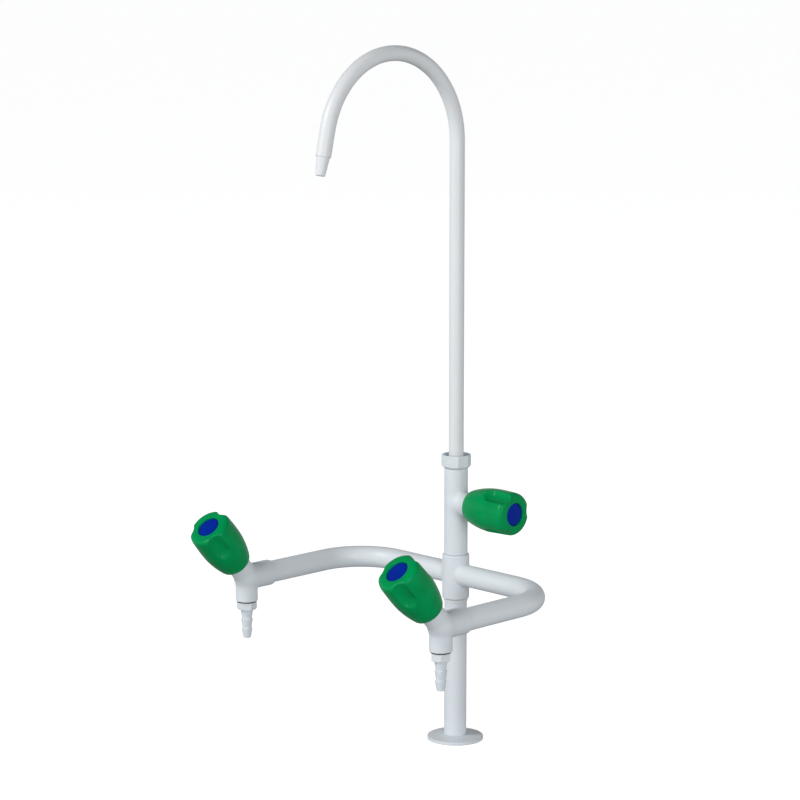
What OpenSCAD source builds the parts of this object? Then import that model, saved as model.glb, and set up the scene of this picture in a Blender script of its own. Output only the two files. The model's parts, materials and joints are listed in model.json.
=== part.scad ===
// Laboratory gooseneck tap: a column with two side arms, three quarter-turn valves and a swivelling spout.
// The origin is the centre of the base flange's underside, +Z is up and the outlets point to -Y.

/* [Layout] */
// Height of the arms' axis above the deck
arm_axis_h = 166.6; // [150:0.2:230]
// Sideways distance from the column to each side valve
arm_reach = 132; // [110:1:190]
// Forward distance from the column to each side valve
arm_forward = 155.4; // [128:0.2:210]
// Centre-line radius of the bend in each arm
arm_bend_r = 51.4; // [40:0.2:75]
// Height of the top valve's axis above the arms' axis
top_valve_rise = 70.4; // [62:0.2:110]
// Height of the union nut's underside above the top valve's axis
nut_rise = 35; // [35:0.5:60]
// Tilt of the side valves' knobs from upright
valve_tilt = 41.5; // [35:0.5:50]
// Turn of the side valves' knobs towards each other
valve_toe = 4.6; // [0:0.2:12]

/* [Spout] */
// Height above the deck where the gooseneck starts to bend
spout_spring_h = 587.6; // [420:0.2:720]
// Centre-line radius of the gooseneck
spout_bend_r = 85.4; // [60:0.2:130]
// Angle that the gooseneck turns through
spout_arc = 167; // [120:1:180]
// Straight length after the bend
spout_tail = 25; // [10:0.5:60]
// Outer diameter of the spout tube
spout_d = 14.5; // [12:0.1:15.4]
// Wall of the spout tube
spout_wall = 1.2; // [0.8:0.1:1.6]
// Length of the tip nozzle that shows
tip_len = 17.5; // [10:0.5:30]
// Step from the spout tube's surface in to the tip nozzle
tip_step = 1.05; // [0.5:0.05:1.2]
// Diameter of the tip nozzle at its end
tip_end_d = 9; // [8.2:0.1:10]
// Depth of the tip nozzle inside the tube
tip_seat = 9; // [6:0.5:15]
// Bore of the tip nozzle
tip_bore = 6.5; // [4:0.1:7]

/* [Column and arms] */
// Outer diameter of the column
column_d = 22; // [20:0.1:27]
// Wall of the column
column_wall = 1.5; // [1:0.1:2.5]
// Diameter of the base flange
flange_d = 55; // [40:1:90]
// Thickness of the base flange
flange_t = 3.2; // [2:0.1:6]
// Rounding of the flange's upper edge
flange_round = 0.9; // [0.3:0.1:1.5]
// Rise of the flange's top from its edge to the column
flange_crown = 2; // [0:0.1:4]
// Wall of the threaded inlet bush in the column's foot
inlet_wall = 1.95; // [1:0.05:4]
// Length of the threaded inlet
inlet_len = 22; // [12:1:40]
// Outer diameter of the arms
arm_d = 21.3; // [18:0.1:23]
// Wall of the arms
arm_wall = 1.65; // [1:0.05:2.5]

/* [Hub] */
// Wall of the hub round the column
hub_wall = 2.25; // [1.2:0.05:6]
// Height of the hub
hub_h = 44; // [42:0.5:60]
// Depth of the hub below the arms' axis
hub_drop = 24.1; // [22:0.1:30]
// Bevel of the hub's edges
hub_bevel = 1.2; // [0.4:0.1:1.6]
// Depth of the hub's two end sockets
hub_socket = 10; // [6:0.5:11]
// Shoulder left in the hub round its upright waterway
hub_shoulder = 3; // [1.5:0.1:5]
// Height of the ring under the hub
ring_h = 2.4; // [1.5:0.1:5]
// How far the ring stands out from the column
ring_lip = 0.7; // [0.4:0.1:1.2]
// Open seam between the ring and the hub
ring_seam = 0.5; // [0.2:0.1:0.8]

/* [Upper body and union nut] */
// Wall of the upper body round the spout's spigot
body_wall = 2.5; // [2.2:0.05:4]
// Least step from the column's surface out to the upper body
body_step = 0.5; // [0.3:0.1:2]
// Step from the column's surface in to the spigot that enters the hub
body_spigot_step = 1; // [0.5:0.05:1.5]
// Wall of that spigot round the inlet waterway
body_spigot_wall = 2; // [1.5:0.05:3]
// Wall of the top valve's neck round its headwork
top_neck_wall = 1.7; // [1.2:0.05:1.8]
// Diameter of the feed drilling behind the top valve's seat
feed_d = 4.4; // [3:0.1:4.6]
// Wall of the spigot round the spout tube's foot
swivel_wall = 1.75; // [1.2:0.05:2]
// Depth of the bore that takes the spigot
spout_socket_depth = 25; // [22:0.5:26]
// Wall of the thread under the nut
nut_thread_wall = 1.3; // [1.1:0.05:1.8]
// Height of the thread under the nut
nut_thread_h = 4.6; // [4:0.1:8]
// Wall of the nut at its flats
nut_wall = 3.2; // [3:0.05:6]
// Height of the nut
nut_h = 13; // [12.5:0.1:18]
// Bevel of the nut's lower edge
nut_bevel = 3; // [1:0.1:3.4]
// Turn of the nut about its axis
nut_turn = 7.5; // [0:0.5:45]
// Thickness of the nut's inner lip
nut_lip = 1.2; // [1:0.1:2]
// Rim left round the nut's top recess
nut_rim = 1.2; // [0.8:0.1:1.5]
// Bevel of the nut's upper edge
nut_top_bevel = 0.6; // [0.3:0.1:1]
// Number of flats on the nut
nut_sides = 8; // [6:2:12]

/* [Side valves] */
// Wall of the down leg round the nozzle's spigot
leg_wall = 3.05; // [2.5:0.05:4.3]
// Drop of the down leg below the arms' axis
leg_drop = 23.1; // [21:0.1:32]
// Wall of the tilted neck round its headwork
neck_wall = 2.7; // [2:0.05:3.2]
// Wall of the arm socket
socket_wall = 1.85; // [1.4:0.05:2.2]
// Reach of the arm socket behind the valve
socket_len = 32; // [26:0.5:45]
// Depth that the arm enters the socket
socket_depth = 16; // [8:0.5:17]
// Rounding of the socket's mouth
socket_round = 1.2; // [0.4:0.1:1.5]
// Swell of the ball where leg, neck and socket meet
ball_swell = 0.45; // [0.3:0.05:1.5]
// Diameter of the drilling from the valve to the nozzle
outlet_d = 7; // [4:0.5:7]

/* [Hose nozzles] */
// Diameter of the threaded spigot
nozzle_spigot_d = 15.4; // [13:0.1:16]
// Length of the threaded spigot
nozzle_spigot_len = 8.6; // [5:0.1:9]
// Wall of the collar at its flats
nozzle_wall = 0.8; // [0.8:0.05:2.3]
// Height of the collar
nozzle_collar_h = 7.6; // [4:0.1:12]
// Thickness of the seal above the collar
nozzle_seal_t = 1.2; // [0.8:0.1:2]
// Number of barbs
barb_count = 3; // [2:1:5]
// Length of one barb
barb_len = 9.4; // [6:0.1:12]
// Crest diameter of the first barb
barb_first_d = 12.4; // [11:0.1:14]
// Crest diameter of the last barb
barb_last_d = 10.6; // [9:0.1:11]
// Drop from a crest to the foot of its barb, on the diameter
barb_drop = 3; // [0.8:0.1:3.2]
// Bore of the hose nozzle
nozzle_bore = 5.5; // [3:0.1:6]
// Bevel of the collar's lower edge
nozzle_bevel = 1; // [0.4:0.1:1.4]
// Turn of the left nozzle's collar
left_nozzle_turn = 45; // [0:1:60]
// Turn of the right nozzle's collar
right_nozzle_turn = 15; // [0:1:60]

/* [Knobs] */
// Length of a knob
knob_len = 57; // [50:0.5:70]
// Wall of the knob's foot round the headwork
knob_foot_wall = 3; // [2.7:0.1:5]
// Swell of the knob from its foot to its widest level
knob_swell = 6.3; // [4:0.1:9]
// Distance from the foot to the largest diameter
knob_belly = 34; // [25:0.5:40]
// Step from the widest level in to the knob's outer end
knob_taper = 0.8; // [0.3:0.1:2.5]
// Rounding of the knob's foot
knob_foot_round = 2.6; // [1:0.1:3.5]
// Rounding of the knob's outer rim
knob_rim_round = 4.2; // [1:0.1:5]
// Gap between the valve's neck and the knob's foot
knob_gap = 0.8; // [0.5:0.1:2.5]
// Number of finger flutes
flute_count = 3; // [3:1:5]
// Radius of a flute
flute_r = 10; // [7:0.5:12]
// Depth of a flute below the outer end's rim
flute_depth = 3.8; // [2:0.1:4.5]
// Length of a flute, without its rounded end
flute_len = 19.6; // [15:0.1:30]
// Turn of the left knob at rest
left_knob_turn = 82; // [0:1:120]
// Turn of the right knob at rest
right_knob_turn = 73; // [0:1:120]
// Turn of the top knob at rest
top_knob_turn = 93; // [0:1:120]
// Diameter of the index button
button_d = 22; // [16:0.1:24]
// Thickness of the index button
button_t = 2.4; // [1.5:0.1:4]
// Depth of the button below the knob's rim
button_sink = 1.1; // [0.5:0.1:2]
// Length of the button's snap plug
button_plug = 5; // [3:0.5:8]

/* [Headworks] */
// Step from the disc chamber out to the bonnet's bore
bonnet_step = 1.5; // [1.2:0.05:1.7]
// Reach of the neck from the valve's axis
neck_reach = 20.6; // [18:0.1:26]
// Room round the ceramic discs, for the cage and the water
chamber_room = 2; // [1.7:0.05:2.2]
// Distance from the valve's axis back to the seat
seat_back = 5; // [4:0.1:5.2]
// Distance from the valve's axis to the end of that bore
chamber_front = 4; // [3:0.1:5]
// Diameter of the waterway through the seat
seat_port_d = 6; // [4:0.1:6]
// Thickness of the seat seal
seat_seal_t = 2; // [1.5:0.1:2.4]
// Diameter of the ceramic discs
disc_d = 12; // [11:0.1:14.4]
// Thickness of a ceramic disc
disc_t = 2.4; // [2:0.1:2.6]
// Angle of each of a disc's two ports
port_angle = 78; // [50:1:84]
// Wall of the cage round the discs
cage_wall = 1.3; // [1:0.1:1.4]
// Width of the cage's windows
window_w = 8; // [5:0.5:9]
// Diameter of the spindle
spindle_d = 8; // [7:0.1:8.6]
// Thickness of the spindle's drive flange
drive_t = 2.4; // [2:0.1:2.6]
// Width of the drive tongue
tongue_w = 3.6; // [2.5:0.1:4]
// Height of the drive tongue
tongue_h = 1.1; // [0.8:0.1:1.2]
// Depth of each flat that turns the knob
drive_flat = 1; // [0.7:0.05:1.5]
// Length of the spindle inside the knob's socket
drive_len = 10; // [8:0.5:12]
// Lip of the bonnet's wrench flats past its bore
bonnet_lip = 0.25; // [0.25:0.05:0.5]
// Height of the bonnet's wrench flats
bonnet_hex_h = 4; // [3:0.1:5]
// Wall of the bonnet's top sleeve
sleeve_wall = 2.5; // [2.1:0.05:3.5]
// Height of the bonnet's top sleeve
sleeve_h = 4.5; // [3:0.1:6]
// Thickness of the circlip
circlip_t = 1; // [0.8:0.1:1.2]
// Width of the circlip outside the spindle
circlip_w = 1.7; // [1.3:0.05:2]
// Angle that the spindle turns through, between its stops
stop_travel = 90; // [60:5:120]
// Angle of the stop lug on the spindle
lug_angle = 30; // [20:1:40]
// Diameter of the knob screw
screw_d = 4; // [3:0.1:4]
// Length of the knob screw below its head
screw_len = 11; // [9:0.5:12]
// Diameter of the screw's head
screw_head_d = 7.6; // [6.6:0.1:8.4]
// Height of the screw's head
screw_head_h = 3; // [2:0.1:3.5]

/* [Seals and fits] */
// Section of the spout's O-rings
spout_ring_t = 2; // [1.6:0.1:2.4]
// Section of the bonnet's O-ring
bonnet_ring_t = 1.4; // [1:0.1:1.6]
// Section of the spindle's O-rings
spindle_ring_t = 1.4; // [1:0.1:1.6]
// Radial clearance of parts that turn in each other
run_fit = 0.05; // [0.02:0.01:0.1]
// Radial gap of brazed, pressed and screwed joints
joint_gap = 0.05; // [0.02:0.01:0.1]
// Gap between end faces that turn on each other
face_gap = 0.1; // [0.05:0.01:0.2]
// Gap between the two ceramic discs
disc_gap = 0.02; // [0.01:0.01:0.05]
// Room along the axis beside an O-ring in its groove
groove_room = 0.3; // [0.1:0.05:0.4]

/* [Hidden] */
$fn = 96;

// How far a cutter runs past a face, and how far two solids of one piece reach into each other
past = 1;
bite = 0.5;

// Small fixed allowances inside the valves and knobs
cage_lead = 1;
circlip_room = 2;
circlip_groove = 0.7;
circlip_open = 60;
drive_play = 0.3;
knob_web = 3.4;
screw_play = 0.25;
well_play = 0.8;
skirt_play = 0.7;
seat_seal_w = 2;
port_start = 1.6;
port_rim = 1.2;
slot_w = 1;
slot_depth = 1.2;
foot_tuck = 0.1;
lower_seal_drop = 6.5;
stop_play = 1;
window_web = 0.5;
upper_seal_drop = 2;

// Small fixed allowances of the swivel joint and the nozzles
collar_step = 0.5;
lip_overlap = 1.4;
nut_gap = 0.3;
spigot_foot_gap = 1;
spigot_bore_step = 1.75;
tube_seat_h = 14;
lower_ring_h = 3.5;
upper_ring_h = 9;
tip_bevel = 0.6;
tail_step = 0.05;
nozzle_hole_spare = 0.6;
seal_inset = 1.2;
arm_shoulder = 3;
feed_wall = 0.4;
inlet_web = 5;
outlet_side_wall = 0.6;

// Main radii and levels
column_r = column_d / 2;
column_in_r = column_r - column_wall;
inlet_r = column_in_r - joint_gap - inlet_wall;
arm_r = arm_d / 2;
arm_bore_r = arm_r - arm_wall;
spout_r = spout_d / 2;
spout_bore_r = spout_r - spout_wall;
hub_d = column_d + 2 * hub_wall;
hub_r = hub_d / 2;
hub_z0 = arm_axis_h - hub_drop;
hub_z1 = hub_z0 + hub_h;
body_spigot_d = column_d - 2 * body_spigot_step;
body_bore = body_spigot_d - 2 * body_spigot_wall;
hub_bore = body_spigot_d - 2 * hub_shoulder;
spout_socket_d = spout_d + 2 * swivel_wall;
body_r = max(spout_socket_d / 2 + body_wall, column_r + body_step);
nut_thread_d = spout_socket_d + 2 * nut_thread_wall;
nut_af = nut_thread_d + 2 * nut_wall;
tip_root_d = spout_d - 2 * tip_step;
top_z = arm_axis_h + top_valve_rise;
nut_z = top_z + nut_rise;
body_top = nut_z + nut_thread_h;
spout_socket_z = body_top - spout_socket_depth;
knob_z = neck_reach + knob_gap;

// Levels along a valve's own axis, outwards from where it meets the body's axis
seat_z = -seat_back;
fixed_disc_z = seat_z + seat_seal_t;
moving_disc_z = fixed_disc_z + disc_t + disc_gap;
drive_z = moving_disc_z + disc_t;
drive_top = drive_z + drive_t;
cage_z = fixed_disc_z - cage_lead;
bonnet_z = drive_top + face_gap;
bonnet_top = neck_reach + bonnet_hex_h + sleeve_h;
circlip_z = bonnet_top + face_gap;
socket_floor_z = circlip_z + circlip_t + circlip_room;
spindle_top = socket_floor_z + drive_len;
screw_seat_z = spindle_top + knob_web;
knob_end_z = knob_z + knob_len;
button_z = knob_end_z - button_sink - button_t;

// Sizes round a valve's own axis
chamber_d = disc_d + 2 * chamber_room;
bonnet_d = chamber_d + 2 * bonnet_step;
bonnet_af = bonnet_d + 2 * bonnet_lip;
top_neck_d = bonnet_d + 2 * top_neck_wall;
neck_d = bonnet_d + 2 * neck_wall;
socket_d = arm_d + 2 * socket_wall;
ball_d = max(neck_d, socket_d) + 2 * ball_swell;
leg_d = nozzle_spigot_d + 2 * leg_wall;
nozzle_af = nozzle_spigot_d + 2 * nozzle_wall;
drive_af = spindle_d - 2 * drive_flat;
sleeve_d = spindle_d + 2 * sleeve_wall;
circlip_d = spindle_d + 2 * circlip_w;
cage_r = disc_d / 2 + run_fit;
spindle_r = spindle_d / 2;
screw_hole_r = screw_d / 2 + screw_play;
well_r = screw_head_d / 2 + well_play;
skirt_r = ceil(10 * (bonnet_af / sqrt(3) + skirt_play)) / 10;

// Levels of the spout's swivel joint
washer_t = 1;
collar_z = body_top + washer_t + face_gap;
collar_t = 2;
lip_z = collar_z + collar_t + face_gap;
swivel_r = spout_socket_d / 2 - run_fit;
spigot_bore_r = spout_r - spigot_bore_step;
collar_r = nut_thread_d / 2 - collar_step;
spigot_z = spout_socket_z + spigot_foot_gap;
tube_seat_z = spigot_z + tube_seat_h;

// Levels of a side valve below the arms' axis
nozzle_hole_top = -leg_drop + nozzle_spigot_len + nozzle_hole_spare;
outlet_y = -4;
arm_stop = socket_len - socket_depth;

paint = [0.86, 0.88, 0.9];
green = [0.02, 0.6, 0.34];
blue = [0.04, 0.12, 0.62];
brass = [0.8, 0.64, 0.3];
ceramic = [0.93, 0.91, 0.86];
rubber = [0.1, 0.1, 0.11];
steel = [0.7, 0.71, 0.73];
nylon = [0.94, 0.94, 0.92];

// Shared shapes

// Ring between two radii, from one level to another
module ring(inner_r, outer_r, z0, z1) {
    difference() {
        translate([0, 0, z0]) cylinder(r = outer_r, h = z1 - z0);
        translate([0, 0, z0 - past]) cylinder(r = inner_r, h = z1 - z0 + 2 * past);
    }
}

// Round seal of a given section that just reaches an outer radius
module o_ring(outer_r, section, z) {
    translate([0, 0, z]) rotate_extrude() translate([outer_r - section / 2, 0]) circle(d = section);
}

// Half outline that swells along an arc from a narrow level to a wide one
module swelling(narrow_r, wide_r, narrow_y, wide_y) {
    bow = wide_r - narrow_r;
    rise = abs(wide_y - narrow_y);
    arc_r = (bow * bow + rise * rise) / (2 * bow);
    intersection() {
        translate([wide_r - arc_r, wide_y]) circle(r = arc_r, $fn = 360);
        translate([0, min(narrow_y, wide_y)]) square([wide_r, rise]);
    }
}

// Half outline of a disc edge rounded on one side: side is 1 for its upper edge and -1 for its lower edge
module rounded_end(outer_r, edge_r, y, side) {
    y0 = side > 0 ? y - edge_r : y;
    translate([0, y0]) square([outer_r - edge_r, edge_r]);
    intersection() {
        translate([outer_r - edge_r, y - side * edge_r]) circle(r = edge_r);
        translate([outer_r - edge_r, y0]) square([edge_r, edge_r]);
    }
}

// Six-sided or eight-sided bar of a given width across its flats
module flats(count, across, h) {
    cylinder(r = across / 2 / cos(180 / count), h = h, $fn = count);
}

// Where each valve stands: children are drawn along the valve's own axis
module left_place() {
    translate([-arm_reach, -arm_forward, arm_axis_h]) rotate([valve_tilt, 0, valve_toe]) children();
}

module right_place() {
    translate([arm_reach, -arm_forward, arm_axis_h]) rotate([valve_tilt, 0, -valve_toe]) children();
}

module top_place() {
    translate([0, 0, top_z]) rotate([0, 90, 0]) children();
}

// Base and column

module base_flange() {
    color(paint) difference() {
        rotate_extrude() {
            square([flange_d / 2, flange_t - flange_round]);
            rounded_end(flange_d / 2, flange_round, flange_t, 1);
            polygon([[0, flange_t - bite], [flange_d / 2 - flange_round, flange_t - bite],
                [flange_d / 2 - flange_round, flange_t], [column_r, flange_t + flange_crown],
                [0, flange_t + flange_crown]]);
        }
        translate([0, 0, -past])
            cylinder(r = column_r + joint_gap, h = flange_t + flange_crown + 2 * past);
    }
}

module column_tube() {
    color(paint) ring(column_in_r, column_r, 0, hub_z0 + hub_socket - joint_gap);
}

module inlet_bush() {
    color(brass) ring(inlet_r, column_in_r - joint_gap, 0, inlet_len);
}

module hub_ring() {
    ring_top = hub_z0 - ring_seam;
    color(nylon) ring(column_r + joint_gap, column_r + ring_lip, ring_top - ring_h, ring_top);
}

module arm_hub() {
    inner_h = hub_h - 2 * hub_bevel;
    color(paint) difference() {
        union() {
            translate([0, 0, hub_z0]) cylinder(r1 = hub_r - hub_bevel, r2 = hub_r, h = hub_bevel);
            translate([0, 0, hub_z0 + hub_bevel]) cylinder(r = hub_r, h = inner_h);
            translate([0, 0, hub_z1 - hub_bevel])
                cylinder(r1 = hub_r, r2 = hub_r - hub_bevel, h = hub_bevel);
        }
        translate([0, 0, hub_z0 - past]) cylinder(r = column_r + joint_gap, h = hub_socket + past);
        translate([0, 0, hub_z0]) cylinder(d = hub_bore, h = hub_h);
        translate([0, 0, hub_z1 - hub_socket])
            cylinder(r = body_spigot_d / 2 + joint_gap, h = hub_socket + past);
        translate([-hub_d, 0, arm_axis_h]) rotate([0, 90, 0]) cylinder(r = arm_bore_r, h = 2 * hub_d);
    }
}

// Arm in three runs of tube: out from the hub, round the bend and forward into the valve
module right_arm() {
    start = hub_r / 2;
    straight_x = arm_reach - arm_bend_r;
    run_y = arm_forward - arm_stop - arm_bend_r;
    color(paint) translate([0, 0, arm_axis_h]) {
        difference() {
            translate([start, 0, 0]) rotate([0, 90, 0]) ring(arm_bore_r, arm_r, 0, straight_x - start);
            translate([0, 0, -hub_h]) cylinder(r = hub_r + joint_gap, h = 2 * hub_h);
        }
        translate([straight_x, -arm_bend_r, 0]) rotate_extrude(angle = 90)
            translate([arm_bend_r, 0]) difference() {
                circle(r = arm_r);
                circle(r = arm_bore_r);
            }
        translate([arm_reach, -arm_bend_r, 0]) rotate([90, 0, 0])
            ring(arm_bore_r, arm_r, 0, run_y - joint_gap);
    }
}

module left_arm() {
    mirror([1, 0, 0]) right_arm();
}

// Upper body, union nut and swivelling spout

module upper_body() {
    feed_x = seat_back + feed_wall + feed_d / 2;
    inlet_top = top_z - chamber_d / 2 - inlet_web;
    spigot_bottom = hub_z1 - hub_socket + joint_gap;
    outlet_r = chamber_front - outlet_side_wall;
    color(paint) difference() {
        union() {
            translate([0, 0, spigot_bottom]) cylinder(d = body_spigot_d, h = hub_z1 + past - spigot_bottom);
            translate([0, 0, hub_z1]) cylinder(r = body_r, h = nut_z - nut_gap - hub_z1);
            translate([0, 0, nut_z - past]) cylinder(d = nut_thread_d, h = nut_thread_h + past);
            top_place() cylinder(d = top_neck_d, h = neck_reach);
        }
        translate([0, 0, spigot_bottom - past])
            cylinder(d = body_bore, h = inlet_top - spigot_bottom + past);
        translate([-feed_x, 0, inlet_top - past]) cylinder(d = feed_d, h = top_z - inlet_top + 2 * past);
        translate([-feed_x, 0, top_z]) rotate([0, 90, 0]) cylinder(d = seat_port_d, h = feed_x);
        top_place() headwork_cavity();
        translate([0, 0, top_z]) cylinder(r = outlet_r, h = spout_socket_z - top_z + past);
        translate([0, 0, spout_socket_z]) cylinder(d = spout_socket_d, h = spout_socket_depth + past);
    }
}

module union_nut() {
    corner_r = nut_af / 2 / cos(180 / nut_sides);
    outer_r = corner_r + bite;
    top_bevel_h = nut_top_bevel + bite;
    recess_r = nut_af / 2 - nut_rim;
    lip_r = collar_r - lip_overlap;
    lip_top = lip_z + nut_lip;
    color(paint) difference() {
        intersection() {
            translate([0, 0, nut_z]) rotate([0, 0, nut_turn]) flats(nut_sides, nut_af, nut_h);
            union() {
                translate([0, 0, nut_z])
                    cylinder(r1 = corner_r - nut_bevel, r2 = outer_r, h = nut_bevel + bite);
                translate([0, 0, nut_z + nut_bevel + bite])
                    cylinder(r = outer_r, h = nut_h - nut_bevel - bite - top_bevel_h);
                translate([0, 0, nut_z + nut_h - top_bevel_h])
                    cylinder(r1 = outer_r, r2 = corner_r - nut_top_bevel, h = top_bevel_h);
            }
        }
        translate([0, 0, nut_z - past])
            cylinder(r = nut_thread_d / 2 + joint_gap, h = lip_z - nut_z + past);
        translate([0, 0, nut_z]) cylinder(r = lip_r, h = nut_h + past);
        translate([0, 0, lip_top]) cylinder(r = recess_r, h = nut_h);
    }
}

module swivel_washer() {
    color(nylon) ring(spout_socket_d / 2 + joint_gap, collar_r, body_top, body_top + washer_t);
}

module spout_spigot() {
    groove_h = spout_ring_t + groove_room;
    collar_top = collar_z + collar_t;
    color(brass) difference() {
        union() {
            translate([0, 0, spigot_z]) cylinder(r = swivel_r, h = collar_z - spigot_z + bite);
            translate([0, 0, collar_z]) cylinder(r = collar_r, h = collar_t);
        }
        translate([0, 0, spigot_z - past])
            cylinder(r = spigot_bore_r, h = collar_top - spigot_z + 2 * past);
        translate([0, 0, tube_seat_z])
            cylinder(r = spout_r + joint_gap, h = collar_top - tube_seat_z + past);
        for (z = spout_ring_levels())
            ring(swivel_r - spout_ring_t - joint_gap, swivel_r + past, z - groove_h / 2, z + groove_h / 2);
    }
}

function spout_ring_levels() = [spigot_z + lower_ring_h, spigot_z + upper_ring_h];

module spout_o_rings() {
    color(rubber) for (z = spout_ring_levels()) o_ring(swivel_r, spout_ring_t, z);
}

// Solid run of the gooseneck at a given radius
module spout_run(r, start, end_overrun) {
    translate([0, 0, start]) cylinder(r = r, h = spout_spring_h - start);
    translate([0, -spout_bend_r, spout_spring_h]) rotate([90, 0, 90])
        rotate_extrude(angle = spout_arc) translate([spout_bend_r, 0]) circle(r = r);
    spout_end_place(-bite) cylinder(r = r - tail_step, h = spout_tail + end_overrun + bite);
}

// Point of the gooseneck a given distance past the bend, with +Z along the flow
module spout_end_place(along) {
    translate([0, -spout_bend_r, spout_spring_h]) rotate([spout_arc, 0, 0])
        translate([0, spout_bend_r, along]) children();
}

module spout_tube() {
    color(paint) difference() {
        spout_run(spout_r, tube_seat_z + joint_gap, 0);
        spout_run(spout_bore_r, tube_seat_z - past, past);
    }
}

module spout_nozzle() {
    seat_r = spout_bore_r - tail_step - joint_gap;
    color(paint) spout_end_place(spout_tail) difference() {
        union() {
            translate([0, 0, -tip_seat]) cylinder(r = seat_r, h = tip_seat + bite);
            translate([0, 0, joint_gap])
                cylinder(d1 = tip_root_d, d2 = tip_end_d, h = tip_len - tip_bevel - joint_gap);
            translate([0, 0, tip_len - tip_bevel])
                cylinder(d1 = tip_end_d, d2 = tip_end_d - 2 * tip_bevel, h = tip_bevel);
        }
        translate([0, 0, -tip_seat - past]) cylinder(d = tip_bore, h = tip_seat + tip_len + 2 * past);
    }
}

// Side valve bodies and hose nozzles

// Space inside a valve for its headwork, along the valve's own axis
module headwork_cavity() {
    translate([0, 0, seat_z]) cylinder(d = chamber_d, h = neck_reach);
    translate([0, 0, chamber_front]) cylinder(d = bonnet_d, h = neck_reach);
}

// Casting seen with its leg, neck and arm socket meeting at the origin
module valve_casting(toe) {
    seat_y = seat_back * sin(valve_tilt);
    seat_drop = seat_back * cos(valve_tilt);
    difference() {
        union() {
            translate([0, 0, -leg_drop]) cylinder(d = leg_d, h = leg_drop);
            sphere(d = ball_d);
            rotate([valve_tilt, 0, toe]) cylinder(d = neck_d, h = neck_reach);
            rotate([-90, 0, 0]) rotate_extrude() {
                square([socket_d / 2, socket_len - socket_round]);
                rounded_end(socket_d / 2, socket_round, socket_len, 1);
            }
        }
        rotate([valve_tilt, 0, toe]) headwork_cavity();
        translate([0, arm_stop, 0]) rotate([-90, 0, 0]) cylinder(r = arm_r + joint_gap, h = socket_len);
        translate([0, arm_stop - arm_shoulder, 0]) rotate([-90, 0, 0])
            cylinder(r = arm_bore_r, h = socket_len);
        translate([0, seat_y, -seat_drop]) rotate([-90, 0, 0])
            cylinder(d = seat_port_d, h = arm_stop - seat_y);
        translate([0, 0, -leg_drop - past])
            cylinder(r = nozzle_spigot_d / 2 + joint_gap, h = nozzle_hole_top + leg_drop + past);
        translate([0, outlet_y, nozzle_hole_top - past])
            cylinder(d = outlet_d, h = -nozzle_hole_top - 2 * past);
    }
}

module left_valve_body() {
    color(paint) translate([-arm_reach, -arm_forward, arm_axis_h]) valve_casting(valve_toe);
}

module right_valve_body() {
    color(paint) translate([arm_reach, -arm_forward, arm_axis_h]) valve_casting(-valve_toe);
}

// Place under a side valve's leg, with +Z upwards
module leg_foot(side) {
    translate([side * arm_reach, -arm_forward, arm_axis_h - leg_drop]) children();
}

module nozzle_seal(side) {
    seal_r = leg_d / 2 - seal_inset;
    color(rubber) leg_foot(side) ring(nozzle_spigot_d / 2 + joint_gap, seal_r, -nozzle_seal_t, 0);
}

// Half outline of the barbs, drawn downwards from the collar
module barb_outline() {
    crest_step = (barb_first_d - barb_last_d) / (barb_count - 1);
    crests = [for (i = [0 : barb_count - 1]) (barb_first_d - i * crest_step) / 2];
    edges = [for (i = [0 : barb_count - 1], part = [0, 1])
        [crests[i] - part * barb_drop / 2, -(i + part) * barb_len]];
    polygon(concat([[0, 0]], edges, [[0, -barb_count * barb_len]]));
}

module hose_nozzle(side, turn) {
    collar_corner = nozzle_af / sqrt(3);
    collar_bottom = -nozzle_seal_t - nozzle_collar_h;
    tip_z = collar_bottom - barb_count * barb_len;
    spigot_top = nozzle_spigot_len - nozzle_seal_t;
    color(paint) leg_foot(side) difference() {
        union() {
            translate([0, 0, -nozzle_seal_t - bite])
                cylinder(d = nozzle_spigot_d, h = nozzle_spigot_len + bite);
            intersection() {
                translate([0, 0, collar_bottom]) rotate([0, 0, turn]) flats(6, nozzle_af, nozzle_collar_h);
                union() {
                    translate([0, 0, collar_bottom])
                        cylinder(r1 = collar_corner - nozzle_bevel, r2 = collar_corner + bite,
                            h = nozzle_bevel + bite);
                    translate([0, 0, collar_bottom + nozzle_bevel + bite])
                        cylinder(r = collar_corner + bite, h = nozzle_collar_h);
                }
            }
            translate([0, 0, collar_bottom]) rotate_extrude() barb_outline();
        }
        translate([0, 0, tip_z - past]) cylinder(d = nozzle_bore, h = spigot_top - tip_z + 2 * past);
    }
}

module left_nozzle_seal() { nozzle_seal(-1); }
module right_nozzle_seal() { nozzle_seal(1); }
module left_hose_nozzle() { hose_nozzle(-1, left_nozzle_turn); }
module right_hose_nozzle() { hose_nozzle(1, right_nozzle_turn); }

// Headwork pieces, each along its valve's own axis

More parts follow.
